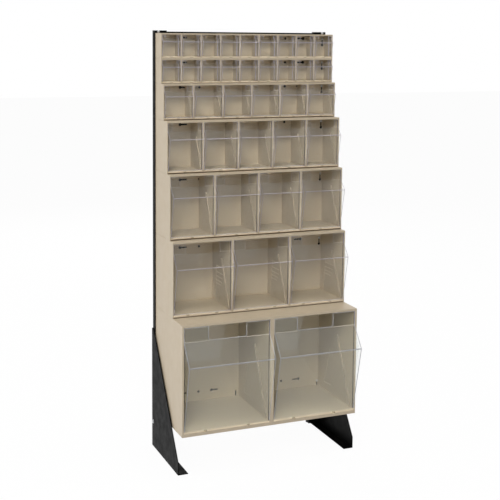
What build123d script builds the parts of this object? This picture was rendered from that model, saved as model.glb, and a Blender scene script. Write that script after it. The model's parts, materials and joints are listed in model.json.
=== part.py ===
"""Free-standing tip-out parts bin: seven moulded housings of clear tip-out cups on a black steel stand.

Millimetres. +X to the right, front towards -Y, +Z up. The origin lies on the floor, at the
middle of the overall width and depth. Inside a row, y is measured from the housing's back face
(the front is at -depth) and z from the housing's underside.
"""
from build123d import *
import os
from collections import namedtuple
from math import atan2, cos, hypot, radians, sin, sqrt

# ---------------------------------------------------------------------------
# Driving dimensions
# ---------------------------------------------------------------------------
# One line per row of bins, from the top of the stack to the bottom.
#   cups         how many cups stand side by side
#   pitch        height that the housing takes in the stack
#   depth        back face to front face of the housing
#   side         outer side wall
#   partition    wall between two cups
#   sill, rail   bottom and top bars of the front
#   wall         wall of the clear cup
#   flare        how far the cup's kink stands out in front of the housing
#   kink         height of the kink above the housing's underside
#   band         upright band of the cup's front below the rail
#   notch_w      width of the finger notch in that band
#   notch_d      depth of the finger notch
#   rear_gap     space between the cup's rear bottom edge and the back wall
#   pivot        hinge axis: distance below the sill's top and behind its front
#   nibs         hinge nibs under the cup's front edge
#   nib          radius of a nib's round end
#   inset        cup's side wall behind the edge of its front panel
#   stop         radius about the hinge axis at which the stop lug meets its rib
#   rib          width of the stop rib; the lug is as wide
#   hang         height of the hanging screws above the housing's underside
#   spare        height of the back wall's spare holes above the housing's underside
Row = namedtuple("Row", "name cups pitch depth side partition sill rail wall flare kink band "
                        "notch_w notch_d rear_gap pivot nibs nib inset stop rib hang spare")
rows = [
    Row("row1", 9, 79.375, 60.0, 3.0, 4.5, 5.0, 4.5, 1.6, 12.0, 52.0, 12.0,
        36.0, 11.0, 6.0, 2.6, 1, 1.4, 2.4, 33.0, 2.4, 65.0, 65.0),
    Row("row2", 9, 79.375, 60.0, 3.0, 4.5, 5.0, 4.5, 1.6, 12.0, 52.0, 12.0,
        36.0, 11.0, 6.0, 2.6, 1, 1.4, 2.4, 33.0, 2.4, 65.0, 65.0),
    Row("row3", 6, 114.3, 83.0, 3.0, 5.0, 5.5, 5.0, 1.8, 15.0, 75.0, 18.5,
        57.0, 18.5, 9.0, 2.8, 1, 1.5, 3.4, 48.0, 3.2, 99.0, 99.0),
    Row("row4", 5, 165.1, 119.0, 3.0, 5.0, 6.0, 5.5, 2.0, 22.0, 108.5, 26.0,
        86.0, 26.5, 14.0, 3.0, 1, 1.6, 3.8, 70.0, 4.0, 144.0, 144.0),
    Row("row5", 4, 206.375, 146.0, 3.0, 5.5, 6.5, 5.5, 2.0, 29.0, 136.5, 33.0,
        82.0, 33.5, 18.0, 3.2, 1, 1.8, 4.4, 88.0, 5.0, 170.0, 170.0),
    Row("row6", 3, 241.3, 175.0, 3.0, 7.0, 7.0, 6.0, 2.2, 33.0, 159.0, 32.5,
        114.0, 33.0, 23.0, 3.4, 2, 2.0, 4.6, 103.0, 6.0, 187.0, 187.0),
    Row("row7", 2, 352.425, 267.0, 5.5, 14.0, 14.0, 6.5, 2.5, 49.0, 232.0, 47.0,
        125.0, 44.0, 37.0, 4.6, 2, 3.0, 5.0, 150.0, 8.0, 29.0, 44.0),
]

# Housings
housing_width = 600.0      # every housing, outside
stack_gap = 0.4            # joint between two stacked housings
back_wall = 2.5
skin = 2.5                 # floor and ceiling plates, partition skins
stack_bottom = 128.0       # underside of the stack above the floor

# Cups and their hinges
cup_side_gap = 0.6         # front panel to partition, each side
cup_lift = 0.4             # cup floor above the sill
cup_head_gap = 1.0         # top of the cup below the rail
band_inset = 1.0           # upright band behind the housing's front face
lip_size = 0.12            # bevel under the kink of the wide cups, as a part of the flare
rear_lean = 10.4           # degrees, rear wall of the cup leans forwards
open_angle = 45.0          # degrees, closed to open
notch_corner = 0.1         # bevel of the notch's bottom corners, as a part of its depth
nib_gap = 0.35             # running clearance round a nib
nib_length = 10.0
nib_spread = 7.0           # degrees that a nib's round end runs each way from straight down
nib_half = 0.5             # half of a nib's thickness, as a part of its radius
sill_bevel = 0.8           # bevel of the sill's front edge, as a part of the hinge's distance
small_cup = 120.0          # narrower cups have a sharp kink and a plainer arch
rib_lean = 24.0            # degrees, stop rib leans backwards
rib_foot = 0.08            # rib starts this part of the depth behind the hinge axis
rib_clear = 0.9            # stop rib to the cup's side wall
lug_clear = 0.4            # stop lug to the partition
stop_gap = 0.35            # lug to rib at the open limit

# Stand
upright_width = 41.0
upright_depth = 21.0
upright_wall = 1.8
upright_beyond = 3.0       # uprights beyond the housings' sides
upright_above = 8.0        # uprights above the top housing
mount_gap = 0.3            # housings to uprights, foot to upright
foot_plate = 2.5
foot_height = 400.0
foot_toe = 245.0           # toe in front of the housings' back faces
foot_toe_height = 37.0
foot_top_width = 15.0
foot_flange = 33.0
crossbar_height = 40.0
crossbar_depth = 17.0
crossbar_wall = 1.8
top_bar_above = 4.5        # top crossbar above the top housing
crossbar_bolt_edge = 10.0  # bolts from the bar's top and bottom
bottom_bar_height = 150.0  # underside above the floor
cap_thick = 1.2
cap_plug = 8.0

# Holes and fasteners
keyhole_edge = 10.0        # hanging screws and their keyholes, from the housings' sides
keyhole_travel = 21.0      # narrow end to wide end
keyhole_slot = 5.2
keyhole_entry = 9.5
spare_hole_part = 0.2533   # spare round holes from the middle, as a part of the housing's width
spare_hole = 5.0
spare_keyhole_part = 0.3283    # narrow ends of the spare keyholes, measured in the same way
middle_bay = 200.0         # bays wider than this have two more pairs of keyholes, by the middle
middle_keyhole_part = 0.1417   # narrow ends of the sideways pair, measured in the same way
middle_edge = 10.0         # upright pair, from the partition in the middle
screw_shank = 4.2
screw_head = 8.0
screw_head_thick = 2.2
bolt_shank = 6.0
bolt_head = 11.0           # across flats
bolt_head_thick = 4.0
bolt_reach = 4.0           # bolt past the wall it is driven into
hole_gap = 0.25            # clearance round a shank
side_bolt_height = 85.0
rear_bolt_heights = (60.0, 340.0)

# ---------------------------------------------------------------------------
# Places worked out from the sizes
# ---------------------------------------------------------------------------
deepest = rows[-1]
rear_reach = mount_gap + upright_depth + mount_gap + foot_plate + bolt_head_thick
back_y = (deepest.depth + deepest.flare - rear_reach) / 2    # back faces of the housings
stack_height = sum(row.pitch for row in rows)
stack_top = stack_bottom + stack_height
upright_top = stack_top + upright_above
upright_outside = housing_width / 2 + upright_beyond
upright_inside = upright_outside - upright_width
upright_front = back_y + mount_gap
upright_back = upright_front + upright_depth
upright_middle_x = upright_outside - upright_width / 2
upright_middle_y = upright_front + upright_depth / 2
bolt_y = upright_front + crossbar_depth / 2
keyhole_x = housing_width / 2 - keyhole_edge
spare_hole_x = spare_hole_part * housing_width
spare_keyhole_x = spare_keyhole_part * housing_width
middle_keyhole_x = middle_keyhole_part * housing_width


def row_base(index):
    """Height of a housing's underside above the floor."""
    return stack_top - sum(row.pitch for row in rows[: index + 1])


def bay_width(row):
    return (housing_width - 2 * row.side - (row.cups - 1) * row.partition) / row.cups


def bay_centre(row, place):
    """Middle of the bay in the given place, counted from the left."""
    step = bay_width(row) + row.partition
    return (place - (row.cups - 1) / 2) * step


def nib_places(row):
    """Places of the nibs across a cup: its middle, or a quarter of its width to each side."""
    quarter = bay_width(row) / 4
    return [0] if row.nibs == 1 else [-quarter, quarter]


def hinge(row):
    """Hinge axis in the row's own y and z."""
    return -row.depth + row.pivot, row.sill - row.pivot


def housing_height(row):
    return row.pitch - stack_gap


def prism(face, width):
    """A flat outline in y and z drawn out along X, half to each side."""
    return extrude(Plane.YZ * face, amount=width / 2, both=True)


def block(x0, x1, y0, y1, z0, z1):
    return Pos((x0 + x1) / 2, (y0 + y1) / 2, (z0 + z1) / 2) * Box(x1 - x0, y1 - y0, z1 - z0)


# ---------------------------------------------------------------------------
# Stop rib and stop lug
# ---------------------------------------------------------------------------
def rib_start(row):
    axis_y, axis_z = hinge(row)
    return axis_y + rib_foot * row.depth, row.sill


def rib_bar(row, reach):
    """Diagonal rib on a partition's face, standing the given distance out of it."""
    foot_y, foot_z = rib_start(row)
    length = (row.kink - foot_z) / cos(radians(rib_lean))
    bar = Pos(0, 0, length / 2) * Box(reach, row.rib, length)
    return Pos(0, foot_y, foot_z) * Rot(-rib_lean, 0, 0) * bar


def stop_point(row):
    """Distance along the rib at which the lug meets it."""
    axis_y, axis_z = hinge(row)
    foot_y, foot_z = rib_start(row)
    away_y, away_z = foot_y - axis_y, foot_z - axis_z
    along = away_y * sin(radians(rib_lean)) + away_z * cos(radians(rib_lean))
    return -along + sqrt(along**2 - away_y**2 - away_z**2 + row.stop**2)


def stop_lug(row, reach):
    """Lug on the cup's side: laid against the open side of the rib, then swung back shut."""
    axis_y, axis_z = hinge(row)
    foot_y, foot_z = rib_start(row)
    lug = Pos(0, row.rib + stop_gap, stop_point(row)) * Box(reach, row.rib, 1.5 * row.rib)
    lug = Pos(0, foot_y, foot_z) * Rot(-rib_lean, 0, 0) * lug
    return lug.rotate(Axis((0, axis_y, axis_z), (1, 0, 0)), -open_angle)


# ---------------------------------------------------------------------------
# Cup
# ---------------------------------------------------------------------------
def cup_outline(row, rim):
    """Side outline of a cup, its arched top edge raised by rim above the true one."""
    axis_y, axis_z = hinge(row)
    floor_z = row.sill + cup_lift
    front_y = -row.depth
    tip_y = front_y - row.flare
    band_y = front_y + band_inset
    ceiling = housing_height(row) - row.rail
    crease_z = ceiling - row.band
    top_z = ceiling - cup_head_gap + rim
    radius = hypot(band_y - axis_y, top_z - axis_z)

    rear_y = -back_wall - row.rear_gap
    lean = radians(rear_lean)
    away_y, away_z = rear_y - axis_y, floor_z - axis_z
    along = away_z * cos(lean) - away_y * sin(lean)
    climb = -along + sqrt(along**2 - away_y**2 - away_z**2 + radius**2)
    rear_top = (rear_y - climb * sin(lean), floor_z + climb * cos(lean))

    wide = bay_width(row) > small_cup
    shares = (0, 1 / 3, 2 / 3, 1) if wide else (0, 1 / 2, 1)
    start = atan2(top_z - axis_z, band_y - axis_y)
    sweep = start - atan2(rear_top[1] - axis_z, rear_top[0] - axis_y)
    turns = [start - sweep * share for share in shares]
    arch = [(axis_y + radius * cos(turn), axis_z + radius * sin(turn)) for turn in turns]

    kink = [(tip_y, row.kink)]
    if wide:
        kink.insert(0, (tip_y + lip_size * row.flare, row.kink - lip_size * row.flare))
    return make_face(Polyline(
        (rear_y, floor_z), (front_y, floor_z), *kink, (band_y, crease_z), *arch, close=True
    ))


def hinge_nib(row):
    """Nib under the cup's front edge, with a round end about the hinge axis."""
    axis_y, axis_z = hinge(row)
    half = nib_half * row.nib
    end_half = row.nib * sin(radians(nib_spread))
    end_z = axis_z - row.nib * cos(radians(nib_spread))
    shoulder = end_z + half - end_half
    top = row.sill + cup_lift + row.wall / 2
    sides = Polyline(
        (axis_y - end_half, end_z), (axis_y - half, shoulder), (axis_y - half, top),
        (axis_y + half, top), (axis_y + half, shoulder), (axis_y + end_half, end_z),
    )
    end = ThreePointArc(sides @ 1, (axis_y, axis_z - row.nib), sides @ 0)
    return prism(make_face(sides + end), nib_length)


def finger_notch(row):
    """Cutter for the notch, with bevelled bottom corners."""
    ceiling = housing_height(row) - row.rail
    outline = Rectangle(row.notch_w, 2 * row.notch_d)
    corner = notch_corner * row.notch_d
    outline = chamfer(outline.vertices().group_by(Axis.Y)[0], corner)
    cutter = extrude(Plane.XZ * outline, amount=row.wall + 1, both=True)
    return Pos(0, -row.depth + band_inset, ceiling - cup_head_gap) * cutter


def make_cup(row):
    """Clear cup in its closed place, centred on x = 0."""
    full = bay_width(row) - 2 * cup_side_gap
    body = bay_width(row) - 2 * row.inset
    outline = cup_outline(row, 0)
    hollow = offset(cup_outline(row, 4 * row.wall), -row.wall, kind=Kind.INTERSECTION)
    walls = outline - hollow
    front_part = Pos(-row.depth - row.flare / 2 + row.wall, row.pitch / 2) * Rectangle(
        row.flare + 2 * row.wall, 2 * row.pitch
    )
    cup = prism(outline, body) - prism(hollow, body - 2 * row.wall)
    cup += prism(walls & front_part, full)
    cup -= finger_notch(row)
    for x in nib_places(row):
        cup += Pos(x, 0, 0) * hinge_nib(row)
    reach = row.inset - lug_clear
    for side in (-1, 1):
        cup += Pos(side * (body / 2 + reach / 2), 0, 0) * stop_lug(row, reach)
    return cup


# ---------------------------------------------------------------------------
# Housing
# ---------------------------------------------------------------------------
def nib_pocket(row):
    """Pocket in the sill for one nib, with a low lip in front that keeps the cup from sliding out."""
    axis_y, axis_z = hinge(row)
    half = nib_length / 2 + nib_gap
    top = row.sill + 1
    lip_y = axis_y - nib_half * row.nib - nib_gap
    reach = row.nib + nib_gap
    well = block(-half, half, lip_y, axis_y + reach, axis_z - reach, top)
    return well + block(-half, half, -row.depth - 1, axis_y, axis_z - row.nib / 2, top)


def through_wall(outline):
    """A flat outline in x and z cut right through a back wall."""
    return extrude(Plane.XZ * outline, amount=2 * back_wall, both=True)


def small_hole(width):
    """Small hole, drawn with six sides to keep the mesh light."""
    return RegularPolygon(width / 2, 6, major_radius=False)


def keyhole():
    """Keyhole from its narrow end, at the origin, straight down to its wide end."""
    length = keyhole_travel + keyhole_slot / 2
    slot = Pos(0, keyhole_slot / 2 - length / 2) * Rectangle(keyhole_slot, length)
    return slot + Pos(0, -keyhole_travel) * small_hole(keyhole_entry)


def back_holes(row):
    """Hanging keyholes at the uprights, and the spare holes and keyholes between them."""
    sideways = Rot(0, 0, 90) * keyhole()
    spares = Pos(spare_hole_x, 0) * small_hole(spare_hole) + Pos(spare_keyhole_x, 0) * sideways
    hanging = Pos(keyhole_x, 0) * keyhole()
    if bay_width(row) > middle_bay:
        spares += Pos(middle_keyhole_x, 0) * sideways
        hanging += Pos(row.partition / 2 + middle_edge, 0) * keyhole()
    pattern = Pos(0, 0, row.spare) * through_wall(spares) + Pos(0, 0, row.hang) * through_wall(hanging)
    return pattern + mirror(pattern, Plane.YZ)


def make_housing(row):
    height = housing_height(row)
    half = housing_width / 2
    bay = bay_width(row)
    ceiling = height - row.rail
    sill_back = -row.depth + 2 * row.pivot + skin
    body = block(-half, half, -row.depth, 0, 0, height)
    for place in range(row.cups):
        x = bay_centre(row, place)
        left, right = x - bay / 2, x + bay / 2
        body -= block(left, right, -row.depth - 1, -back_wall, row.sill, ceiling)

    # The sill's front edge is bevelled, so that the cup's corner can roll past it.
    front_edges = body.edges().filter_by(Axis.X).group_by(Axis.Y)[0]
    sill_edges = front_edges.filter_by(lambda edge: abs(edge.center().Z - row.sill) < 0.01)
    body = chamfer(sill_edges, sill_bevel * row.pivot)

    body -= block(-half + row.side, half - row.side, sill_back, -back_wall, -1, row.sill - skin)
    for place in range(row.cups):
        x = bay_centre(row, place)
        for nib_x in nib_places(row):
            body -= Pos(x + nib_x, 0, 0) * nib_pocket(row)
        reach = row.inset - rib_clear
        for side in (-1, 1):
            body += Pos(x + side * (bay / 2 - reach / 2), 0, 0) * rib_bar(row, reach)
    hollow = row.partition / 2 - skin
    if hollow > skin:
        for place in range(row.cups - 1):
            x = (bay_centre(row, place) + bay_centre(row, place + 1)) / 2
            body -= block(x - hollow, x + hollow, sill_back, 1, row.sill, ceiling)
    return body - back_holes(row)


# ---------------------------------------------------------------------------
# Stand
# ---------------------------------------------------------------------------
def upright_screw_heights():
    """Heights of the screws that hang the housings, and of the one that keeps the top one down."""
    hanging = [row_base(index) + row.hang for index, row in enumerate(rows)]
    return hanging + [stack_top + screw_head / 2]


def crossbar_bases():
    return {
        "top_crossbar": stack_top + top_bar_above - crossbar_height,
        "bottom_crossbar": bottom_bar_height,
    }


def square_along_x(half, x0, x1, y, z):
    """Square bar along X, to cut a square hole for a bolt's neck."""
    return block(min(x0, x1), max(x0, x1), y - half, y + half, z - half, z + half)


def square_along_y(half, y0, y1, x, z):
    return block(x - half, x + half, y0, y1, z - half, z + half)


def make_upright():
    """Right-hand upright: a steel tube with the holes of its screws and bolts."""
    bottom = foot_plate + mount_gap
    top = upright_top - cap_thick
    tube = block(upright_inside, upright_outside, upright_front, upright_back, bottom, top)
    wall = upright_wall
    tube -= block(upright_inside + wall, upright_outside - wall, upright_front + wall,
                  upright_back - wall, bottom - 1, top + 1)
    for z in upright_screw_heights():
        tube -= square_along_y(screw_shank / 2 + hole_gap, upright_front - 1,
                               upright_front + wall + 1, keyhole_x, z)
    shank = bolt_shank / 2 + hole_gap
    for base in crossbar_bases().values():
        for z in crossbar_bolt_heights(base):
            tube -= square_along_x(shank, upright_inside - 1, upright_inside + wall + 1, bolt_y, z)
    tube -= square_along_x(shank, upright_outside - wall - 1, upright_outside + 1, upright_middle_y,
                    side_bolt_height)
    for z in rear_bolt_heights:
        tube -= square_along_y(shank, upright_back - wall - 1, upright_back + 1, upright_middle_x, z)
    return tube


def make_cap():
    """Plastic plug that closes the top of the right-hand upright."""
    top = upright_top - cap_thick
    inner = upright_wall + hole_gap
    behind_screw = upright_front + inner + bolt_reach
    plate = block(upright_inside, upright_outside, upright_front, upright_back, top, upright_top)
    return plate + block(upright_inside + inner, upright_outside - inner, behind_screw,
                         upright_back - inner, top - cap_plug, top)


def make_foot():
    """Right-hand foot: one folded plate with a gusset side, a floor flange and a rear flange."""
    inner = upright_outside + mount_gap
    outer = inner + foot_plate
    rear = upright_back + mount_gap + foot_plate
    toe = back_y - foot_toe
    gusset = make_face(Polyline(
        (rear, 0), (toe, 0), (toe, foot_toe_height), (rear - foot_top_width, foot_height),
        (rear, foot_height), close=True,
    ))
    foot = Pos((inner + outer) / 2, 0, 0) * prism(gusset, foot_plate)
    foot += block(outer - foot_flange, outer, toe, rear, 0, foot_plate)
    foot += block(upright_inside, outer, rear - foot_plate, rear, 0, foot_height)
    shank = bolt_shank / 2 + hole_gap
    foot -= square_along_x(shank, inner - 1, outer + 1, upright_middle_y, side_bolt_height)
    for z in rear_bolt_heights:
        foot -= square_along_y(shank, rear - foot_plate - 1, rear + 1, upright_middle_x, z)
    return foot


def crossbar_bolt_heights(base):
    return [base + crossbar_bolt_edge, base + crossbar_height - crossbar_bolt_edge]


def make_crossbar(base):
    """Channel folded shut at both ends, where it is bolted to the uprights."""
    reach = upright_inside - hole_gap
    wall = crossbar_wall
    back = upright_front + crossbar_depth
    bar = block(-reach, reach, upright_front, back, base, base + crossbar_height)
    bar -= block(-reach + wall, reach - wall, upright_front + wall, back + 1,
                 base + wall, base + crossbar_height - wall)
    for z in crossbar_bolt_heights(base):
        for side in (-1, 1):
            bar -= square_along_x(bolt_shank / 2 + hole_gap, side * (reach - wall - 1),
                                  side * (reach + 1), bolt_y, z)
    return bar


# ---------------------------------------------------------------------------
# Fasteners: each head lies at the origin, and its shank runs up +Z from under it
# ---------------------------------------------------------------------------
def headed_pin(head, thick, neck, length):
    """Head drawn from a flat outline, on a square neck that fits a square hole."""
    return extrude(head, amount=-thick) + Pos(0, 0, length / 2) * Box(neck, neck, length)


def pan_screw(length):
    return headed_pin(small_hole(screw_head), screw_head_thick, screw_shank, length)


def hex_bolt(length):
    head = RegularPolygon(bolt_head / 2, 6, major_radius=False)
    return headed_pin(head, bolt_head_thick, bolt_shank, length)


def both_sides(solids):
    """The right-hand solids with their mirror images."""
    return Compound(children=solids + [mirror(solid, Plane.YZ) for solid in solids])


def make_hanging_screws():
    head_y = back_y - back_wall - hole_gap
    screw = Rot(-90, 0, 0) * pan_screw(upright_front + upright_wall + bolt_reach - head_y)
    return both_sides([Pos(keyhole_x, head_y, z) * screw for z in upright_screw_heights()[:-1]])


def make_retaining_screws():
    screw = Rot(-90, 0, 0) * pan_screw(upright_wall + bolt_reach)
    return both_sides([Pos(keyhole_x, upright_front, upright_screw_heights()[-1]) * screw])


def make_crossbar_bolts():
    head_x = upright_inside - hole_gap - crossbar_wall
    bolt = Rot(0, 90, 0) * hex_bolt(upright_inside + upright_wall + bolt_reach - head_x)
    return both_sides([
        Pos(head_x, bolt_y, z) * bolt
        for base in crossbar_bases().values() for z in crossbar_bolt_heights(base)
    ])


def make_foot_bolts():
    length = foot_plate + mount_gap + upright_wall + bolt_reach
    outer = upright_outside + mount_gap + foot_plate
    rear = upright_back + mount_gap + foot_plate
    side_bolt = Pos(outer, upright_middle_y, side_bolt_height) * Rot(0, -90, 0) * hex_bolt(length)
    rear_bolt = Rot(90, 0, 0) * hex_bolt(length)
    return both_sides(
        [side_bolt] + [Pos(upright_middle_x, rear, z) * rear_bolt for z in rear_bolt_heights]
    )


# ---------------------------------------------------------------------------
# Build and write the parts
# ---------------------------------------------------------------------------
parts = {}
for index, row in enumerate(rows):
    place_row = Pos(0, back_y, row_base(index))
    parts["housing_" + row.name] = place_row * make_housing(row)
    cup = make_cup(row)
    for place in range(row.cups):
        parts[f"cup_{row.name}_{place + 1}"] = Pos(bay_centre(row, place), 0, 0) * (place_row * cup)

for name, shape in (("upright", make_upright()), ("foot", make_foot())):
    parts[name + "_right"] = shape
    parts[name + "_left"] = mirror(shape, Plane.YZ)
for name, base in crossbar_bases().items():
    parts[name] = make_crossbar(base)
parts["upright_caps"] = both_sides([make_cap()])
parts["hanging_screws"] = make_hanging_screws()
parts["retaining_screws"] = make_retaining_screws()
parts["crossbar_bolts"] = make_crossbar_bolts()
parts["foot_bolts"] = make_foot_bolts()

os.makedirs("parts", exist_ok=True)
for name, shape in parts.items():
    export_step(shape, f"parts/{name}.step")
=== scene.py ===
"""Dresses a floor stand of tip-out bins: finishes, beads, ribs, plugs, screws, and the stage around it."""

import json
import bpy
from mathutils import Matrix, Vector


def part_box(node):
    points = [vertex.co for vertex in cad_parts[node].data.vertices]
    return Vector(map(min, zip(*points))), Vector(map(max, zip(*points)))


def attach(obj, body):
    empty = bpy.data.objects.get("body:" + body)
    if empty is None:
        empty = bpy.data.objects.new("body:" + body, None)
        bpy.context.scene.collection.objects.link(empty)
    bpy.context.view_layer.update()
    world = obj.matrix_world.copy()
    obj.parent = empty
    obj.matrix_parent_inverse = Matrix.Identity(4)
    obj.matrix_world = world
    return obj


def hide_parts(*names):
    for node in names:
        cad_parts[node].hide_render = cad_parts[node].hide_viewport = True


bl_info = {
    "name": "Tip-out bin stand",
    "version": (1, 0, 0),
    "blender": (4, 5, 0),
    "location": "View3D > Sidebar > Bin stand",
    "description": "Dresses the packed tip-out bin stand and sets its stage",
    "category": "Object",
}

from collections import namedtuple
from math import cos, pi, radians, sin

import bmesh
import bpy
from mathutils import Matrix, Vector

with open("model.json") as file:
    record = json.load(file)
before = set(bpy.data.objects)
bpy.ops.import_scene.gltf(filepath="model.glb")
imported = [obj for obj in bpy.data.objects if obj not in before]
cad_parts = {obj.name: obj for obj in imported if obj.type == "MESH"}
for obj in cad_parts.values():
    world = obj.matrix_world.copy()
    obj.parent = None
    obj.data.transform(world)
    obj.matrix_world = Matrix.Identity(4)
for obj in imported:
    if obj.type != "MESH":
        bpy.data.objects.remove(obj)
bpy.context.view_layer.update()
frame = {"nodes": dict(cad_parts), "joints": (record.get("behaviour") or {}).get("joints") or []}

MM = 0.001

# One line per row of bins, top to bottom, in millimetres.
#   sill, rail              bottom bar and top bar of the housing
#   wall, kink, band        cup's wall, height of its kink, height of its upright band
#   notch_w, notch_d        width and depth of the finger notch
#   inset                   cup's side wall behind the edge of its front panel
#   spare                   height of the spare holes in the housing's back wall
Row = namedtuple("Row", "name sill rail wall kink band notch_w notch_d inset spare")
ROWS = (
    Row("row1", 5.0, 4.5, 1.6, 52.0, 12.0, 36.0, 11.0, 2.4, 65.0),
    Row("row2", 5.0, 4.5, 1.6, 52.0, 12.0, 36.0, 11.0, 2.4, 65.0),
    Row("row3", 5.5, 5.0, 1.8, 75.0, 18.5, 57.0, 18.5, 3.4, 99.0),
    Row("row4", 6.0, 5.5, 2.0, 108.5, 26.0, 86.0, 26.5, 3.8, 144.0),
    Row("row5", 6.5, 5.5, 2.0, 136.5, 33.0, 82.0, 33.5, 4.4, 170.0),
    Row("row6", 7.0, 6.0, 2.2, 159.0, 32.5, 114.0, 33.0, 4.6, 187.0),
    Row("row7", 14.0, 6.5, 2.5, 232.0, 47.0, 125.0, 44.0, 5.0, 44.0),
)
CUP_LIFT = 0.4      # cup's floor above the sill
CUP_HEAD_GAP = 1.0  # cup's top edge under the top bar
CUP_SIDE_GAP = 0.6  # front panel to the wall beside it
BAND_INSET = 1.0    # upright band behind the housing's front

# Beads on the cups, in a light colour that is partly painted highlight, and the bright and dark lines beside
# them, which are painted highlight and painted shade.
THICK_ROWS = ("row7",)                                   # rows of thick cups
CREASE_BEADS = ("row3", "row4", "row5", "row6", "row7")  # rows with a line under the upright band
NOTCH_BEADS = ("row7",)                                  # rows with a bead right round the finger notch
FOOT_BEADS = ("row3", "row4", "row5", "row6")            # rows with a bead along the front of the floor
BEAD_PARTS = {"row1": 1.35, "row2": 1.35, "row3": 1.2, "row7": 1.3}   # how much thicker their beads are
NOTCH_PARTS = {"row3": 0.6, "row4": 0.45, "row5": 0.4, "row6": 0.35}  # ... and their notches' beads
SIDE_HIGHLIGHT_PARTS = {"row1": 2.2, "row2": 1.6}                  # ... and their bright upright lines, which are painted highlights
NOTCH_CORNER = 0.1  # cut off the notch's corners, as a part of its depth
EDGE_START = 1.5    # lower end of the side edges' beads above the cup's floor, as a part of its wall
SIDE_HIGHLIGHT_LINE = 0.24    # painted highlights: bright upright lines behind the housing's front, as a part of its depth
SHADE_LINE = 4.5    # painted shade: dark upright lines behind the housing's front
SHADE = 0.6         # radius of the dark lines, as a part of the cup's wall
SHADE_INSET = 0.2   # the dark lines' edge, in from the side of the front panel

# Dark strips that stand for the shaded gaps under the housings' front edges.
SEAMS = {"row2": 0.8, "row3": 3.0, "row4": 3.2, "row5": 3.4, "row6": 1.8}  # their heights
SEAM_INSET = 3.0
SEAM_PROUD = 0.3

# Spare holes and keyholes in the back walls, and the plugs in them.
BACK_WALL = 2.5
SPARE_HOLE = 5.0
SPARE_HOLE_X = 152.0
KEYHOLE_SLOT = 5.2
KEYHOLE_ENTRY = 9.5
KEYHOLE_TRAVEL = 21.0
KEYHOLE_X = {"row7": (85.0, 197.0)}  # narrow ends of the sideways ones
SPARE_KEYHOLE_X = (197.0,)           # ... in the other rows
MIDDLE_KEYHOLE = (17.0, 29.0)        # narrow end, in x and z, of the upright one in a row of KEYHOLE_X
PLUG_GAP = 0.15                      # plug to the hole's edge
PLUG_INSET = 0.4                     # plug's faces behind the wall's faces
PLUG_HEAD = 8.0
PLUG_HEAD_THICKNESS = 0.5

# Lines of the moulded ribs on the walls between cups: (y from the back face, z from the underside).
SIDE_RIBS = {
    "row6": (
        ((-25, 10), (-34, 69), (-41, 128)),
        ((-36, 68), (-80, 68)),
        ((-37, 79), (-88, 79)),
        ((-38, 92), (-95, 92)),
        ((-39, 107), (-106, 107)),
        ((-41, 128), (-100, 128)),
    ),
    "row7": (
        ((-51, 39), (-74, 117), (-90, 165)),
        ((-51, 39), (-100, 43)),
    ),
}
FLUTES = {"row7": (-131, -138, -145, -151, -158, -164, -173, -182, -194, -211)}  # y from the back face
FLUTE_MARGIN = 1.0  # their ends from the sill and the top bar

# Screws and bolts: each ring is (radius, way from the head's top, corners), with no corners for a round one.
TURNED_SIDES = 24
PAN_HEAD = ((1.1, 1.3, 6), (1.25, 0.0, 6), (2.2, 0.0, 0), (3.1, 0.25, 0), (3.7, 0.8, 0), (4.0, 1.5, 0),
            (4.0, 2.2, 0), (2.1, 2.2, 0))
PAN_TIP = (1.2, 0.6)   # length of the point, and the radius of its end as a part of the shank's
HEX_HEAD = ((4.6, 0.0, 0), (5.5, 0.5, 6), (5.5, 3.0, 6), (5.5, 3.0, 0), (6.6, 3.1, 0), (6.8, 3.3, 0),
            (6.8, 4.0, 0), (3.0, 4.0, 0))
HEX_TIP = (0.8, 0.75)
FLAT = 1e-5            # corners this near to a plane lie in it, in metres
NARROWER = 1e-4        # a fastener's shank is narrower than its head by at least this, in metres
SHARP_ANGLE = radians(35)

# Looks. A colour is either a value or the name of the user's setting.
NOISE_MIDDLE = (0.3, 0.7)                # where most of a noise's values lie
PATCHES = 7.0                            # patches of roughness per patch of colour
ROUGHNESS_SPREAD = 0.15
RIB_SLOPES = (0.25, 0.33, 0.42, 0.48)    # slopes where the painted shade on the stop ribs starts, is full, and ends
GLOSS_SLOPES = (0.03, 0.15)              # slopes where the clear plastic's coat changes; the extra coat on sloped faces is painted sheen
FRONT_NORMALS = (-0.99, -0.95)           # y of the normals of faces that look forwards
FRONT_PLACES = (0.115, 0.125)            # y that parts the housings' fronts from their back walls, in metres
COAT_ROUGHNESS = 0.04
WAVE_SCALE = 14.0
WAVE_HEIGHT = 0.002
SHADOW_PART = 0.98                       # lamplight that passes an untinted clear wall
SOLID_FINISHES = {
    # ivory_moulding: darker is painted shade on the stop ribs and the housings' fronts
    "ivory_moulding": dict(colour="ivory", roughness=0.42, grain=(700.0, 0.10, 0.0004),
                           darker=(0.38, 0.2)),
    "seam_shade": dict(colour=(0.085, 0.052, 0.026), roughness=0.7, grain=(700.0, 0.10, 0.0004), gloss=0.1),
    "powder_coat": dict(colour="powder", roughness=0.48, grain=(1100.0, 0.30, 0.0004), drift=0.15,
                        gloss=0.05),
    "cap_plastic": dict(colour=(0.02, 0.02, 0.02), roughness=0.5, grain=(900.0, 0.15, 0.0003), gloss=0.2),
    "zinc_plate": dict(colour="zinc", roughness=0.3, grain=(500.0, 0.08, 0.0002), metallic=1.0,
                       drift=0.12, drift_scale=90.0),
}
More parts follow.
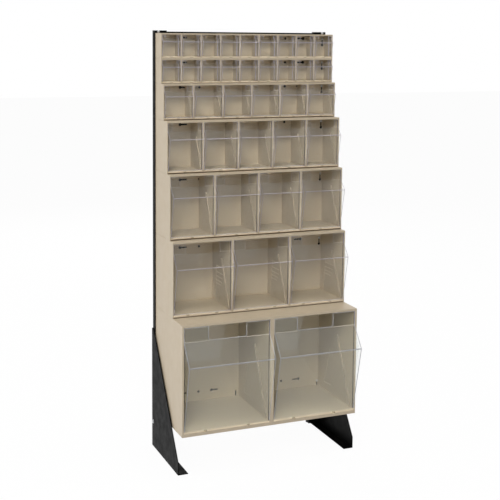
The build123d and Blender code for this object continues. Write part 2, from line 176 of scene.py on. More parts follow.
CLEAR_FINISHES = {
    "clear_moulding": dict(colour="clear", roughness=0.02, transmission=0.995, gloss=(0.08, 0.4), wave=0.04),
    "clear_thick": dict(colour="thick", roughness=0.02, transmission=0.995, gloss=(0.15, 0.9), wave=0.04),
    # The beads are rounded edges in a light colour that is partly painted highlight, for the light that the
    # clear edges catch.
    "clear_bead": dict(colour=(0.37, 0.345, 0.385), roughness=0.3, transmission=0.3, gloss=(0.2, 0.2)),
    "thick_bead": dict(colour=(0.36, 0.36, 0.39), roughness=0.3, transmission=0.3, gloss=(0.1, 0.1)),
    "crease_bead": dict(colour=(0.42, 0.38, 0.33), roughness=0.3, transmission=0.4, gloss=(0.05, 0.05)),
    # edge_shade is painted shade, for the dark side edges of the cups and the gaps beside the posts
    "edge_shade": dict(colour=(0.09, 0.075, 0.065), roughness=0.3, transmission=0.2, gloss=(0.05, 0.05)),
}

# The stage, in metres, watts and degrees.
Lamp = namedtuple("Lamp", "name place width height power")
LAMPS = (
    Lamp("front", (-1.7, -4.0, 4.3), 3.0, 1.4, 129.0),
    Lamp("strip", (-3.6, -4.2, 2.6), 0.25, 1.0, 34.0),
    Lamp("left", (-4.2, 0.3, 1.8), 2.0, 2.0, 44.0),
    Lamp("right", (4.0, -0.6, 1.8), 2.0, 2.0, 25.0),
    Lamp("above", (0.0, -0.5, 5.2), 2.0, 2.0, 55.0),
    Lamp("behind", (0.8, 4.2, 2.4), 2.0, 2.0, 60.0),
)
LAMP_AIM = (0.0, 0.0, 0.7)
FLOOR_REACH = 20.0
FLOOR_COLOUR = (0.9, 0.9, 0.9)
FLOOR_GLOW = 0.96                        # part of the seen floor that shines; the rest keeps the shadow
WORLD_STRENGTHS = (0.33, 1.0)            # the world's strength as a lamp, and as it is seen
CAMERA_PLACE = (-1.30439, -3.05797, 1.35390)
CAMERA_HEADING = -22.61
CAMERA_DIP = 6.43
CAMERA_ROLL = 0.49
CAMERA_LENS = 75.24                      # in millimetres, with the sensor's width
CAMERA_SENSOR = 36.0
CAMERA_SHIFT = -0.1893
CAMERA_REACH = 60.0


# ---------------------------------------------------------------------------
# Sizes and colours that a user would change
# ---------------------------------------------------------------------------
class BinStandFinishes(bpy.types.PropertyGroup):
    """Colours of the plastics and metals."""

    ivory: bpy.props.FloatVectorProperty(
        name="Ivory plastic", description="Colour of the moulded housings",
        subtype="COLOR", size=3, min=0, max=1, default=(0.520, 0.431, 0.310),
    )
    clear: bpy.props.FloatVectorProperty(
        name="Clear plastic", description="Tint of the clear cups",
        subtype="COLOR", size=3, min=0, max=1, default=(0.915, 0.915, 0.905),
    )
    thick: bpy.props.FloatVectorProperty(
        name="Thick clear plastic", description="Tint of the large clear cups",
        subtype="COLOR", size=3, min=0, max=1, default=(0.915, 0.925, 0.910),
    )
    powder: bpy.props.FloatVectorProperty(
        name="Powder coat", description="Colour of the steel stand",
        subtype="COLOR", size=3, min=0, max=1, default=(0.003, 0.003, 0.003),
    )
    zinc: bpy.props.FloatVectorProperty(
        name="Zinc plate", description="Colour of the screws and bolts",
        subtype="COLOR", size=3, min=0, max=1, default=(0.66, 0.67, 0.68),
    )


class BinStandDetails(bpy.types.PropertyGroup):
    """Sizes of the small forms that the solids leave out."""

    bead: bpy.props.FloatProperty(
        name="Bead", description="Radius of the bead on a cup's kink, as a part of the cup's wall",
        subtype="FACTOR", min=0.3, max=0.7, default=0.52,
    )
    rim: bpy.props.FloatProperty(
        name="Rim", description="Radius of the bead on a cup's other edges, as a part of the kink's bead",
        subtype="FACTOR", min=0.2, max=1, default=0.62,
    )
    proud: bpy.props.FloatProperty(
        name="Proud", description="How far a bead stands out of the cup's edge",
        subtype="DISTANCE", unit="LENGTH", min=0, max=0.0003, default=0.0001,
    )
    rib: bpy.props.FloatProperty(
        name="Side rib", description="Radius of the ribs on the walls between cups",
        subtype="DISTANCE", unit="LENGTH", min=0.0005, max=0.002, default=0.0015,
    )
    proud_rib: bpy.props.FloatProperty(
        name="Rib height", description="How far a side rib stands out of its wall",
        subtype="DISTANCE", unit="LENGTH", min=0.0003, max=0.0024, default=0.0022,
    )
    flute: bpy.props.FloatProperty(
        name="Flute", description="Radius of the fine upright flutes in the bottom housing",
        subtype="DISTANCE", unit="LENGTH", min=0.0005, max=0.0015, default=0.0012,
    )
    proud_flute: bpy.props.FloatProperty(
        name="Flute height", description="How far a flute stands out of its wall",
        subtype="DISTANCE", unit="LENGTH", min=0.0003, max=0.0015, default=0.0005,
    )
    edge: bpy.props.FloatProperty(
        name="Soft edge", description="Radius of the moulded and folded edges, for the light on them",
        subtype="DISTANCE", unit="LENGTH", min=0.0001, max=0.002, default=0.0008,
    )


# ---------------------------------------------------------------------------
# Shader helpers
# ---------------------------------------------------------------------------
def new_group(name, inputs, outputs):
    """Empty shader node group with the given sockets, each a (name, kind, value)."""
    group = bpy.data.node_groups.new(name, "ShaderNodeTree")
    for label, kind, value in inputs:
        socket = group.interface.new_socket(label, in_out="INPUT", socket_type=kind)
        socket.default_value = value
    for label, kind in outputs:
        group.interface.new_socket(label, in_out="OUTPUT", socket_type=kind)
    return group, group.nodes.new("NodeGroupInput"), group.nodes.new("NodeGroupOutput")


def feed(tree, value, socket):
    """Links a socket to an input, or sets the input to a plain value."""
    if isinstance(value, bpy.types.NodeSocket):
        tree.links.new(value, socket)
    else:
        socket.default_value = value


def noise(tree, vector, scale, detail):
    node = tree.nodes.new("ShaderNodeTexNoise")
    node.inputs["Detail"].default_value = detail
    tree.links.new(vector, node.inputs["Vector"])
    feed(tree, scale, node.inputs["Scale"])
    return node.outputs["Fac"]


def spread(tree, value, low, high, to_low, to_high):
    """Map Range from low..high to to_low..to_high; each end may be a socket."""
    node = tree.nodes.new("ShaderNodeMapRange")
    tree.links.new(value, node.inputs["Value"])
    for label, end in (("From Min", low), ("From Max", high), ("To Min", to_low), ("To Max", to_high)):
        feed(tree, end, node.inputs[label])
    return node.outputs["Result"]


def calculate(tree, operation, *values):
    """Math node; each value may be a socket."""
    node = tree.nodes.new("ShaderNodeMath")
    node.operation = operation
    for value, socket in zip(values, node.inputs):
        feed(tree, value, socket)
    return node.outputs[0]


def multiply(tree, first, second):
    return calculate(tree, "MULTIPLY", first, second)


def remainder(tree, value):
    """1 less a value between 0 and 1."""
    return spread(tree, value, 0.0, 1.0, 1.0, 0.0)


def shaded(tree, colour, value):
    """A colour with its brightness multiplied."""
    node = tree.nodes.new("ShaderNodeHueSaturation")
    tree.links.new(colour, node.inputs["Color"])
    tree.links.new(value, node.inputs["Value"])
    return node.outputs["Color"]


def coordinate(tree, label):
    return tree.nodes.new("ShaderNodeTexCoord").outputs[label]


def parts(tree, vector):
    """The X, Y and Z outputs of a vector."""
    node = tree.nodes.new("ShaderNodeSeparateXYZ")
    tree.links.new(vector, node.inputs["Vector"])
    return node.outputs


def mix_surface(tree, share, first, second):
    """Makes a material's surface of two shaders; share is the second one's."""
    mix = tree.nodes.new("ShaderNodeMixShader")
    tree.links.new(share, mix.inputs["Fac"])
    tree.links.new(first, mix.inputs[1])
    tree.links.new(second, mix.inputs[2])
    tree.links.new(mix.outputs["Shader"], tree.nodes["Material Output"].inputs["Surface"])


def mottled_surface():
    """Group: a colour that drifts slowly, a roughness that varies, and the height of a fine grain."""
    group, source, result = new_group(
        "mottled_surface",
        (("Colour", "NodeSocketColor", (0.5, 0.5, 0.5, 1)), ("Drift", "NodeSocketFloat", 0.05),
         ("Drift Scale", "NodeSocketFloat", 6.0), ("Grain Scale", "NodeSocketFloat", 900.0),
         ("Roughness", "NodeSocketFloat", 0.4), ("Roughness Spread", "NodeSocketFloat", 0.06)),
        (("Colour", "NodeSocketColor"), ("Roughness", "NodeSocketFloat"), ("Height", "NodeSocketFloat")),
    )
    place = coordinate(group, "Object")
    slow = noise(group, place, source.outputs["Drift Scale"], 4.0)
    dark = multiply(group, spread(group, slow, *NOISE_MIDDLE, 1.0, 0.0), source.outputs["Drift"])
    colour = shaded(group, source.outputs["Colour"], remainder(group, dark))
    group.links.new(colour, result.inputs["Colour"])
    patch = noise(group, place, multiply(group, source.outputs["Drift Scale"], PATCHES), 5.0)
    lift = multiply(group, spread(group, patch, *NOISE_MIDDLE, -1.0, 1.0), source.outputs["Roughness Spread"])
    total = calculate(group, "ADD", source.outputs["Roughness"], lift)
    group.links.new(total, result.inputs["Roughness"])
    group.links.new(noise(group, place, source.outputs["Grain Scale"], 2.0), result.inputs["Height"])


def slope(group):
    """0 on faces square to the axes, up to 0.5 on faces that lean from front to back."""
    normal = parts(group, coordinate(group, "Normal"))
    return calculate(group, "ABSOLUTE", multiply(group, normal["Y"], normal["Z"]))


def front_faces(group):
    """1 on faces that look straight forwards, apart from the housings' back walls, else 0: where the
    housings' fronts get painted shade.
    """
    facing = parts(group, coordinate(group, "Normal"))["Y"]
    place = parts(group, coordinate(group, "Object"))["Y"]
    return multiply(group, spread(group, facing, *FRONT_NORMALS, 1.0, 0.0),
                    spread(group, place, *FRONT_PLACES, 1.0, 0.0))


def housing_tone():
    """Group: painted shade, a colour that is darker on the stop ribs, known by their lean, and on the
    housings' fronts.
    """
    group, source, result = new_group(
        "housing_tone",
        (("Colour", "NodeSocketColor", (0.5, 0.5, 0.5, 1)), ("Ribs Darker", "NodeSocketFloat", 0.3),
         ("Fronts Darker", "NodeSocketFloat", 0.2)),
        (("Colour", "NodeSocketColor"),),
    )
    lean = slope(group)
    start, full, last, end = RIB_SLOPES
    ribs = multiply(group, spread(group, lean, start, full, 0.0, 1.0),
                    spread(group, lean, last, end, 1.0, 0.0))
    value = multiply(
        group, remainder(group, multiply(group, ribs, source.outputs["Ribs Darker"])),
        remainder(group, multiply(group, front_faces(group), source.outputs["Fronts Darker"])))
    group.links.new(shaded(group, source.outputs["Colour"], value), result.inputs["Colour"])


def slope_gloss():
    """Group: one gloss for faces that slope from front to back, another for upright and level ones; the
    coat's reflections are rendered, but its extra weight on sloped faces is painted sheen, for the light from
    above and from the floor.
    """
    group, source, result = new_group(
        "slope_gloss",
        (("Upright", "NodeSocketFloat", 0.1), ("Sloped", "NodeSocketFloat", 0.5)),
        (("Gloss", "NodeSocketFloat"),),
    )
    gloss = spread(group, slope(group), *GLOSS_SLOPES, source.outputs["Upright"], source.outputs["Sloped"])
    group.links.new(gloss, result.inputs["Gloss"])


def use_group(tree, name, values):
    """Puts a group into a tree; each value may be a socket."""
    node = tree.nodes.new("ShaderNodeGroup")
    node.node_tree = bpy.data.node_groups[name]
    for label, value in values.items():
        feed(tree, value, node.inputs[label])
    return node.outputs


def bump(tree, height, strength, distance, normal=None):
    node = tree.nodes.new("ShaderNodeBump")
    node.inputs["Strength"].default_value = strength
    node.inputs["Distance"].default_value = distance
    tree.links.new(height, node.inputs["Height"])
    if normal is not None:
        tree.links.new(normal, node.inputs["Normal"])
    return node.outputs["Normal"]


def soft_edges(tree, radius):
    """Normal that rounds the edges over the given radius."""
    node = tree.nodes.new("ShaderNodeBevel")
    node.samples = 4
    node.inputs["Radius"].default_value = radius
    return node.outputs["Normal"]


def new_material(name):
    """Material with its Principled shader; returns the material, its tree and the shader."""
    material = bpy.data.materials.new(name)
    material.use_nodes = True
    return material, material.node_tree, material.node_tree.nodes["Principled BSDF"]


def solid_finish(name, colour, roughness, grain, metallic=0.0, drift=0.05, drift_scale=6.0, gloss=0.5,
                 darker=None):
    """Opaque plastic or metal; grain is (scale, strength, distance) of its fine bump.

    darker is how much painted shade darkens the stop ribs and the housings' fronts.
    """
    material, tree, shader = new_material(name)
    scale, strength, distance = grain
    tone = (*colour, 1)
    # painted shade on the stop ribs and the housings' fronts
    if darker:
        ribs, fronts = darker
        values = {"Colour": tone, "Ribs Darker": ribs, "Fronts Darker": fronts}
        tone = use_group(tree, "housing_tone", values)["Colour"]
    look = use_group(tree, "mottled_surface", {
        "Colour": tone, "Drift": drift, "Drift Scale": drift_scale,
        "Grain Scale": scale, "Roughness": roughness, "Roughness Spread": roughness * ROUGHNESS_SPREAD,
    })
    tree.links.new(look["Colour"], shader.inputs["Base Color"])
    tree.links.new(look["Roughness"], shader.inputs["Roughness"])
    edges = soft_edges(tree, bpy.context.scene.bin_stand_details.edge)
    tree.links.new(bump(tree, look["Height"], strength, distance, edges), shader.inputs["Normal"])
    shader.inputs["Metallic"].default_value = metallic
    shader.inputs["Specular IOR Level"].default_value = gloss
    return material


def clear_finish(name, colour, roughness, transmission, gloss, wave=0.02):
    """Thin clear plastic: doesn't bend light, mirrors by its coat and lets lamplight through.

    gloss is the coat's weight on upright and level faces, and on sloped ones, where the extra weight is
    painted sheen.
    """
    material, tree, shader = new_material(name)
    shader.inputs["Base Color"].default_value = (*colour, 1)
    shader.inputs["Roughness"].default_value = roughness
    shader.inputs["Transmission Weight"].default_value = transmission
    shader.inputs["IOR"].default_value = 1.0
    upright, sloped = gloss
    coat = use_group(tree, "slope_gloss", {"Upright": upright, "Sloped": sloped})["Gloss"]
    tree.links.new(coat, shader.inputs["Coat Weight"])
    shader.inputs["Coat Roughness"].default_value = COAT_ROUGHNESS
    waves = noise(tree, coordinate(tree, "Object"), WAVE_SCALE, 2.0)
    tree.links.new(bump(tree, waves, wave, WAVE_HEIGHT), shader.inputs["Normal"])
    through = tree.nodes.new("ShaderNodeBsdfTransparent")
    through.inputs["Color"].default_value = (*(SHADOW_PART * part**0.5 for part in colour), 1)
    rays = tree.nodes.new("ShaderNodeLightPath")
    mix_surface(tree, rays.outputs["Is Shadow Ray"], shader.outputs["BSDF"], through.outputs["BSDF"])
    return material


def finish(name):
    """The named finish, made the first time it is asked for."""
    if name in bpy.data.materials:
        return bpy.data.materials[name]
    if "mottled_surface" not in bpy.data.node_groups:
        mottled_surface()
        slope_gloss()
        housing_tone()
    make, table = (solid_finish, SOLID_FINISHES) if name in SOLID_FINISHES else (clear_finish, CLEAR_FINISHES)
    look = dict(table[name])
    if isinstance(look["colour"], str):
        look["colour"] = getattr(bpy.context.scene.bin_stand_finishes, look["colour"])
    return make(name, **look)


def dress(obj, name):
    """Gives every material slot of an object the named finish."""
    if not obj.data.materials:
        obj.data.materials.append(None)
    for slot in obj.material_slots:
        slot.material = finish(name)


# ---------------------------------------------------------------------------
# Places read from the frame
# ---------------------------------------------------------------------------
def cups_of(row):
    """Names of a row's cups, left to right."""
    return sorted(node for node in frame["nodes"] if node.startswith(f"cup_{row.name}_"))


def front_profile(row, cup):
    """Outer line of a cup's front in y and z, from above its floor to its top edge."""
    low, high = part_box("housing_" + row.name)
    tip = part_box(cup)[0][1]
    ceiling = high[2] - row.rail * MM
    band_y = low[1] + BAND_INSET * MM
    floor = Vector((low[1], low[2] + (row.sill + CUP_LIFT) * MM))
    kink = Vector((tip, low[2] + row.kink * MM))
    foot = floor + (kink - floor).normalized() * EDGE_START * row.wall * MM
    return [foot, kink, Vector((band_y, ceiling - row.band * MM)),
            Vector((band_y, ceiling - CUP_HEAD_GAP * MM))]


def hinge_of(cup):
    """Place of a cup's hinge axis in y and z."""
    joint = next(joint for joint in frame["joints"] if joint["child"] == cup)
    return joint["pos_m"][1], joint["pos_m"][2]


def inset_line(points, distance):
    """An open line in y and z moved the given distance towards the inside of its cup."""
    normals = []
    for start, end in zip(points, points[1:]):
        run = (end - start).normalized()
        normals.append(Vector((run[1], -run[0])))
    moved = []
    for index, point in enumerate(points):
        before = normals[max(index - 1, 0)]
        after = normals[min(index, len(normals) - 1)]
        middle = (before + after).normalized()
        moved.append(point + middle * (distance / middle.dot(after)))
    return moved


def six_sided(x, z, width, turn):
    """Outline of a plug in a six-sided hole, in x and z, with flats above and below before the turn."""
    reach = (width / 2 - PLUG_GAP) / cos(pi / 6)
    return [(x + reach * cos(turn + pi * step / 3), z + reach * sin(turn + pi * step / 3))
            for step in range(6)]


def keyhole_outlines(x, z, sideways):
    """Outlines of the plugs in a keyhole whose narrow end is at x and z: its slot and its wide end."""
    half = KEYHOLE_SLOT / 2 - PLUG_GAP
    if sideways:
        slot = [(x - half, z - half), (x + KEYHOLE_TRAVEL, z - half), (x + KEYHOLE_TRAVEL, z + half),
                (x - half, z + half)]
        return [slot, six_sided(x + KEYHOLE_TRAVEL, z, KEYHOLE_ENTRY, pi / 2)]
    slot = [(x - half, z - KEYHOLE_TRAVEL), (x + half, z - KEYHOLE_TRAVEL), (x + half, z + half),
            (x - half, z + half)]
    return [slot, six_sided(x, z - KEYHOLE_TRAVEL, KEYHOLE_ENTRY, 0)]


def solids_of(node):
    """Corner points of each separate solid of a CAD node."""
    mesh = bmesh.new()
    mesh.from_mesh(frame["nodes"][node].data)
    bmesh.ops.remove_doubles(mesh, verts=mesh.verts, dist=1e-6)
    left, solids = set(mesh.verts), []
    while left:
        queue, found = [left.pop()], []
        while queue:
            vert = queue.pop()
            found.append(vert.co.copy())
            for edge in vert.link_edges:
                other = edge.other_vert(vert)
                if other in left:
                    left.discard(other)
                    queue.append(other)
        solids.append(found)
    mesh.free()
    return sorted(solids, key=lambda points: tuple(round(v, 4) for v in sum(points, Vector())))


# ---------------------------------------------------------------------------
# Making pieces
# ---------------------------------------------------------------------------
def round_bar(name, lines, radius):
    """One object of round bars along open lines, each a list of (point, share of the radius)."""
    curve = bpy.data.curves.new(name, "CURVE")
    curve.dimensions = "3D"
    curve.bevel_depth = radius
    curve.bevel_resolution = 2
    curve.use_fill_caps = True
    for line in lines:
        spline = curve.splines.new("POLY")
        spline.points.add(len(line) - 1)
        for point, (place, share) in zip(spline.points, line):
            point.co = (*place, 1)
            point.radius = share
        spline.use_smooth = True
    obj = bpy.data.objects.new(name, curve)
    bpy.context.scene.collection.objects.link(obj)
    return obj


def turned_part(mesh, profile, place):
    """Adds a solid of revolution about +Z; profile holds (radius, height, corners) rings in millimetres.

    A ring with corners is drawn as that polygon instead of a circle, with its flats at radius.
    """
    rings = []
    for radius, height, corners in profile:
        ring = []
        for step in range(TURNED_SIDES):
            turn = 2 * pi * step / TURNED_SIDES
            reach = radius
            if corners:
                part = 2 * pi / corners
                reach = radius / cos((turn % part) - part / 2)
            corner = Vector((reach * cos(turn), reach * sin(turn), height)) * MM
            ring.append(mesh.verts.new(place @ corner))
        rings.append(ring)
    for lower, upper in zip(rings, rings[1:]):
        for step in range(TURNED_SIDES):
            after = (step + 1) % TURNED_SIDES
            mesh.faces.new((lower[step], lower[after], upper[after], upper[step]))
    mesh.faces.new(reversed(rings[0]))
    mesh.faces.new(rings[-1])


def mesh_object(name, mesh):
    """Links a finished bmesh as an object, with its flat faces sharp and its round ones smooth."""
    bmesh.ops.recalc_face_normals(mesh, faces=mesh.faces)
    for face in mesh.faces:
        face.smooth = True
    for edge in mesh.edges:
        edge.smooth = edge.is_manifold and edge.calc_face_angle(pi) < SHARP_ANGLE
    data = bpy.data.meshes.new(name)
    mesh.to_mesh(data)
    mesh.free()
    obj = bpy.data.objects.new(name, data)
    bpy.context.scene.collection.objects.link(obj)
    return obj


def fastener_place(points):
    """Matrix that puts a fastener's head at a solid's wide end, with +Z along its shank, and its length."""
    low = Vector(min(p[axis] for p in points) for axis in range(3))
    high = Vector(max(p[axis] for p in points) for axis in range(3))
    middle = (low + high) / 2
    best = None
    for axis in (0, 1):
        for sign in (-1, 1):
            end = low[axis] if sign > 0 else high[axis]
            near = [p for p in points if abs(p[axis] - end) < FLAT]
            width = max(p[2] for p in near) - min(p[2] for p in near)
            span = high[axis] - low[axis]
            thin = span > 0 and all(
                abs(p[2] - middle[2]) < width / 2 - NARROWER
                for p in points if abs(p[axis] - (low[axis] + high[axis] - end)) < FLAT
            )
            if thin and (best is None or width > best[0]):
                best = (width, axis, sign, end, span)
    _, axis, sign, end, span = best
    along = Vector((0, 0, 0))
    along[axis] = sign
    origin = middle.copy()
    origin[axis] = end
    turn = Vector((0, 0, 1)).rotation_difference(along).to_matrix().to_4x4()
    return Matrix.Translation(origin) @ turn, span


def fastener(mesh, head, tip, place, length):
    """Adds a fastener with the top of its head at the place's origin; its head's last ring is the shank's."""
    shank = head[-1][0]
    tip_length, tip_part = tip
    ends = ((shank, length - tip_length, 0), (tip_part * shank, length, 0))
    turned_part(mesh, head + ends, place)


# ---------------------------------------------------------------------------
# Operators
# ---------------------------------------------------------------------------
class BINSTAND_OT_housings(bpy.types.Operator):
    """Gives the seven housings their ivory moulded plastic, with painted shade on the stop ribs and the
    fronts
    """

    bl_idname = "binstand.housings"
    bl_label = "Housings"

    def execute(self, context):
        for row in ROWS:
            dress(frame["nodes"]["housing_" + row.name], "ivory_moulding")
        return {"FINISHED"}


class BINSTAND_OT_side_ribs(bpy.types.Operator):
    """Moulds the ribs and fine flutes on the walls beside the large cups"""

    bl_idname = "binstand.side_ribs"
    bl_label = "Side ribs and flutes"

    def execute(self, context):
        details = context.scene.bin_stand_details
        for row in ROWS:
            if row.name not in SIDE_RIBS:
                continue
            low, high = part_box("housing_" + row.name)
            ribs = [[(high[1] + y * MM, low[2] + z * MM) for y, z in line] for line in SIDE_RIBS[row.name]]
            ends = (low[2] + (row.sill + FLUTE_MARGIN) * MM, high[2] - (row.rail + FLUTE_MARGIN) * MM)
            flutes = [[(high[1] + y * MM, z) for z in ends] for y in FLUTES.get(row.name, ())]
            for name, lines, radius, proud in (
                ("side_ribs_", ribs, details.rib, details.proud_rib),
                ("flutes_", flutes, details.flute, details.proud_flute),
            ):
                if lines:
                    bars = [[(Vector((x, y, z)), 1) for y, z in line]
                            for x in self.wall_places(row, proud - radius) for line in lines]
                    piece = round_bar(name + row.name, bars, radius)
                    dress(piece, "ivory_moulding")
                    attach(piece, "stand")
        return {"FINISHED"}

    def wall_places(self, row, out):
        """Places in x that stand the given distance out of the walls beside each cup."""
        places = []
        for cup in cups_of(row):
            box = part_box(cup)
            for side, edge in ((1, box[0][0]), (-1, box[1][0])):
                places.append(edge - side * (CUP_SIDE_GAP * MM - out))
        return places


class BINSTAND_OT_cups(bpy.types.Operator):
    """Gives the cups their clear moulded plastic"""

    bl_idname = "binstand.cups"
    bl_label = "Clear cups"

    def execute(self, context):
        for row in ROWS:
            for cup in cups_of(row):
                dress(frame["nodes"][cup], "clear_thick" if row.name in THICK_ROWS else "clear_moulding")
        return {"FINISHED"}


class BINSTAND_OT_beads(bpy.types.Operator):
    """Rolls a bead round the front edges, the notch and the kink of every cup, in a light colour that is
    partly painted highlight, with upright lines of painted highlight and painted shade beside them
    """

    bl_idname = "binstand.beads"
    bl_label = "Cup edge beads"

    def execute(self, context):
        details = context.scene.bin_stand_details
        for row in ROWS:
            for cup in cups_of(row):
                radius = details.bead * BEAD_PARTS.get(row.name, 1) * row.wall * MM
                edges, creases = self.lines(row, cup, radius, details)
                # dark upright lines of painted shade beside the front panel's edges
                shade = SHADE * row.wall
                uprights = self.uprights(row, cup, SHADE_LINE * MM, shade + SHADE_INSET, radius, (-1, 1))
                shades = [[(point, shade * MM / radius) for point in line] for line in uprights]
                for suffix, lines, look in (
                    ("_beads", edges, "thick_bead" if row.name in THICK_ROWS else "clear_bead"),
                    ("_crease", creases, "crease_bead"),
                    ("_shade", shades, "edge_shade"),
                ):
                    if lines:
                        piece = round_bar(cup + suffix, lines, radius)
                        dress(piece, look)
                        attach(piece, cup)
        return {"FINISHED"}

    def lines(self, row, cup, radius, details):
        """Lines of one cup's edge beads and crease beads, and of its bright upright lines of painted
        highlight, each a list of (point, share of the radius).
        """
        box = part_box(cup)
        middle = (box[0][0] + box[1][0]) / 2
        buried = details.rim * radius - details.proud
        half = (box[1][0] - box[0][0]) / 2 - buried
        side = inset_line(front_profile(row, cup), row.wall * MM / 2)
        side[-1][1] -= buried
        top_y, top_z = side[-1]
        notch = row.notch_w * MM / 2 + buried
        floor = top_z - row.notch_d * MM
        corner = NOTCH_CORNER * row.notch_d * MM
        notch_part = details.rim * NOTCH_PARTS.get(row.name, 1)
        edge = [(-half, y, z, details.rim) for y, z in side]
        edge += [(-notch, top_y, top_z, notch_part), (-notch, top_y, floor + corner, notch_part)]
        if row.name in NOTCH_BEADS:
            edge.append((-notch + corner, top_y, floor, notch_part))
            edges = [edge + [(-x, *rest) for x, *rest in reversed(edge)]]
        else:
            edges = [edge, [(-x, *rest) for x, *rest in edge]]
        found = [[(Vector((middle + x, y, z)), part) for x, y, z, part in line] for line in edges]
        foot, kink, crease = side[:3]
        found.append([(Vector((middle + x, *kink)), 1) for x in (-half, half)])
        if row.name in FOOT_BEADS:
            found.append([(Vector((middle + x, *foot)), details.rim) for x in (-half, half)])
        creases = []
        if row.name in CREASE_BEADS:
            crease_part = (details.rim + notch_part) / 2
            for x in (-1, 1):
                creases.append([(Vector((middle + x * end, *crease)), crease_part) for end in (half, notch)])
        # bright upright lines of painted highlight on the cup's side wall
        if row.name in SIDE_HIGHLIGHT_PARTS:
            low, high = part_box("housing_" + row.name)
            side_wall = row.inset - CUP_SIDE_GAP + row.wall
            line, = self.uprights(row, cup, SIDE_HIGHLIGHT_LINE * (high[1] - low[1]), side_wall, radius, (1,))
            found.append([(point, SIDE_HIGHLIGHT_PARTS[row.name] * details.rim) for point in line])
        return found, creases

    def uprights(self, row, cup, back, inset, radius, sides):
        """Upright lines along a cup's sides, the given distance behind the housing's front.

        inset is the way in from the side of the front panel, in millimetres.
        """
        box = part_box(cup)
        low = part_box("housing_" + row.name)[0]
        line_y = low[1] + back
        hinge_y, hinge_z = hinge_of(cup)
        top_y, top_z = front_profile(row, cup)[-1]
        reach = Vector((top_y - hinge_y, top_z - hinge_z)).length - 2 * radius
        top = hinge_z + (reach**2 - (line_y - hinge_y) ** 2) ** 0.5
        bottom = low[2] + (row.sill + CUP_LIFT + row.wall) * MM
        middle = (box[0][0] + box[1][0]) / 2
        reach_x = (box[1][0] - box[0][0]) / 2 - inset * MM
        return [[Vector((middle + side * reach_x, line_y, z)) for z in (bottom, top)] for side in sides]


class BINSTAND_OT_stand(bpy.types.Operator):
    """Gives the steel stand its powder coat and its plastic caps"""

    bl_idname = "binstand.stand"
    bl_label = "Steel stand"

    def execute(self, context):
        for node, obj in frame["nodes"].items():
            if node.startswith(("upright_left", "upright_right", "foot_left", "foot_right")) \
                    or node.endswith("_crossbar"):
                dress(obj, "powder_coat")
        dress(frame["nodes"]["upright_caps"], "cap_plastic")
        return {"FINISHED"}


class BINSTAND_OT_fasteners(bpy.types.Operator):
    """Turns the screws and bolts with their heads, recesses and washers"""

    bl_idname = "binstand.fasteners"
    bl_label = "Screws and bolts"

    def execute(self, context):
        pan_screw, hex_bolt = (PAN_HEAD, PAN_TIP), (HEX_HEAD, HEX_TIP)
        for node, forms in (("hanging_screws", pan_screw), ("retaining_screws", pan_screw),
                            ("crossbar_bolts", hex_bolt), ("foot_bolts", hex_bolt)):
            mesh = bmesh.new()
            for points in solids_of(node):
                place, length = fastener_place(points)
                fastener(mesh, *forms, place, length / MM)
            piece = mesh_object("turned_" + node, mesh)
            dress(piece, "zinc_plate")
            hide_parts(node)
            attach(piece, "stand")
        return {"FINISHED"}


class BINSTAND_OT_plugs(bpy.types.Operator):
    """Closes the spare holes and keyholes in the back walls with black plugs"""

    bl_idname = "binstand.plugs"
    bl_label = "Hole plugs"

    def execute(self, context):
        for row in ROWS:
            low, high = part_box("housing_" + row.name)
            outlines = [six_sided(SPARE_HOLE_X, row.spare, SPARE_HOLE, 0)]
            for x in KEYHOLE_X.get(row.name, SPARE_KEYHOLE_X):
                outlines += keyhole_outlines(x, row.spare, True)
            if row.name in KEYHOLE_X:
                outlines += keyhole_outlines(*MIDDLE_KEYHOLE, False)
            mesh = bmesh.new()
            for outline in outlines:
                for side in (-1, 1):
                    self.plate(mesh, [(side * x * MM, low[2] + z * MM) for x, z in outline],
                               high[1] - (BACK_WALL - PLUG_INSET) * MM, high[1] - PLUG_INSET * MM)
            wall_face = high[1] - BACK_WALL * MM
            for side in (-1, 1):
                head = six_sided(SPARE_HOLE_X, row.spare, PLUG_HEAD, 0)
                self.plate(mesh, [(side * x * MM, low[2] + z * MM) for x, z in head],
                           wall_face - PLUG_HEAD_THICKNESS * MM, wall_face + PLUG_INSET * MM)
            piece = mesh_object("hole_plugs_" + row.name, mesh)
            dress(piece, "cap_plastic")
            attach(piece, "stand")
        return {"FINISHED"}

    def plate(self, mesh, outline, front, back):
        """Adds a flat outline in x and z as a plate between two places along y."""
        ends = [[mesh.verts.new((x, y, z)) for x, z in outline] for y in (front, back)]
        mesh.faces.new(ends[0])
        mesh.faces.new(reversed(ends[1]))
        for index in range(len(outline)):
            after = (index + 1) % len(outline)
            mesh.faces.new((ends[0][index], ends[1][index], ends[1][after], ends[0][after]))


class BINSTAND_OT_seams(bpy.types.Operator):
    """Shades the gap under the front edge of each stacked housing"""

    bl_idname = "binstand.seams"
    bl_label = "Seams between housings"

    def execute(self, context):
        for row in ROWS:
            if row.name not in SEAMS:
                continue
            low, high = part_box("housing_" + row.name)
            mesh = bmesh.new()
            bmesh.ops.create_cube(mesh, size=1)
            size = Vector((high[0] - low[0] - 2 * SEAM_INSET * MM, 2 * SEAM_PROUD * MM,
                           SEAMS[row.name] * MM))
            place = Vector(((low[0] + high[0]) / 2, low[1], low[2] + size[2] / 2))
            bmesh.ops.transform(mesh, matrix=Matrix.LocRotScale(place, None, size), verts=mesh.verts)
            piece = mesh_object("seam_" + row.name, mesh)
            dress(piece, "seam_shade")
            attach(piece, "stand")
        return {"FINISHED"}


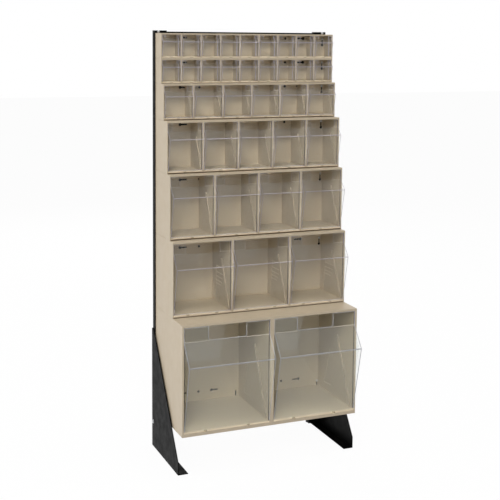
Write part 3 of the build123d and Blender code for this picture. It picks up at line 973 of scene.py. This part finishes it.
class BINSTAND_OT_stage(bpy.types.Operator):
    """Sets the floor, the world, the lamps and the camera"""

    bl_idname = "binstand.stage"
    bl_label = "Stage"

    def execute(self, context):
        scene = context.scene
        scene.view_settings.view_transform = "Standard"
        self.floor()
        self.world(scene)
        for name, place, width, height, power in LAMPS:
            lamp = bpy.data.lights.new(name, "AREA")
            lamp.shape = "RECTANGLE"
            lamp.energy = power
            lamp.size = width
            lamp.size_y = height
            obj = bpy.data.objects.new(name, lamp)
            obj.location = place
            aim = Vector(LAMP_AIM) - Vector(place)
            obj.rotation_euler = aim.to_track_quat("-Z", "Y").to_euler()
            obj.visible_glossy = False
            scene.collection.objects.link(obj)
        self.camera(scene)
        return {"FINISHED"}

    def floor(self):
        mesh = bmesh.new()
        bmesh.ops.create_grid(mesh, x_segments=1, y_segments=1, size=FLOOR_REACH)
        obj = mesh_object("floor", mesh)
        material, tree, shader = new_material("studio_floor")
        shader.inputs["Base Color"].default_value = (*FLOOR_COLOUR, 1)
        shader.inputs["Roughness"].default_value = 0.9
        shader.inputs["Specular IOR Level"].default_value = 0.1
        glow = tree.nodes.new("ShaderNodeEmission")
        glow.inputs["Color"].default_value = (1, 1, 1, 1)
        share = multiply(tree, self.seen_rays(tree), FLOOR_GLOW)
        mix_surface(tree, share, shader.outputs["BSDF"], glow.outputs["Emission"])
        obj.data.materials.append(material)

    def world(self, scene):
        world = bpy.data.worlds.new("studio")
        world.use_nodes = True
        scene.world = world
        tree = world.node_tree
        back = tree.nodes["Background"]
        back.inputs["Color"].default_value = (1, 1, 1, 1)
        strength = spread(tree, self.seen_rays(tree), 0.0, 1.0, *WORLD_STRENGTHS)
        tree.links.new(strength, back.inputs["Strength"])

    def seen_rays(self, tree):
        """1 for rays from the camera, mirrored rays and rays through glass, else 0."""
        rays = tree.nodes.new("ShaderNodeLightPath").outputs
        total = rays["Is Camera Ray"]
        for label in ("Is Glossy Ray", "Is Transmission Ray"):
            total = calculate(tree, "MAXIMUM", total, rays[label])
        return total

    def camera(self, scene):
        data = bpy.data.cameras.new("camera")
        data.lens = CAMERA_LENS
        data.sensor_width = CAMERA_SENSOR
        data.shift_y = CAMERA_SHIFT
        data.clip_end = CAMERA_REACH
        obj = bpy.data.objects.new("camera", data)
        turn = (Matrix.Rotation(radians(CAMERA_HEADING), 4, "Z")
                @ Matrix.Rotation(radians(90 - CAMERA_DIP), 4, "X")
                @ Matrix.Rotation(radians(CAMERA_ROLL), 4, "Z"))
        obj.matrix_world = Matrix.Translation(CAMERA_PLACE) @ turn
        scene.collection.objects.link(obj)
        scene.camera = obj


STEPS = ("housings", "side_ribs", "plugs", "cups", "beads", "seams", "stand", "fasteners", "stage")


class BINSTAND_PT_panel(bpy.types.Panel):
    """Lists the steps that dress the stand"""

    bl_idname = "BINSTAND_PT_panel"
    bl_label = "Tip-out bin stand"
    bl_space_type = "VIEW_3D"
    bl_region_type = "UI"
    bl_category = "Bin stand"

    def draw(self, context):
        for group in (context.scene.bin_stand_finishes, context.scene.bin_stand_details):
            for label in group.__annotations__:
                self.layout.prop(group, label)
        for step in STEPS:
            self.layout.operator("binstand." + step)


CLASSES = (
    BinStandFinishes, BinStandDetails, BINSTAND_OT_housings, BINSTAND_OT_side_ribs, BINSTAND_OT_cups,
    BINSTAND_OT_plugs, BINSTAND_OT_beads, BINSTAND_OT_seams, BINSTAND_OT_stand, BINSTAND_OT_fasteners,
    BINSTAND_OT_stage, BINSTAND_PT_panel,
)


def register():
    for cls in CLASSES:
        bpy.utils.register_class(cls)
    bpy.types.Scene.bin_stand_finishes = bpy.props.PointerProperty(type=BinStandFinishes)
    bpy.types.Scene.bin_stand_details = bpy.props.PointerProperty(type=BinStandDetails)


def unregister():
    del bpy.types.Scene.bin_stand_finishes
    del bpy.types.Scene.bin_stand_details
    for cls in reversed(CLASSES):
        bpy.utils.unregister_class(cls)


def main():
    register()
    for step in STEPS:
        getattr(bpy.ops.binstand, step)()


if __name__ == "__main__":
    main()
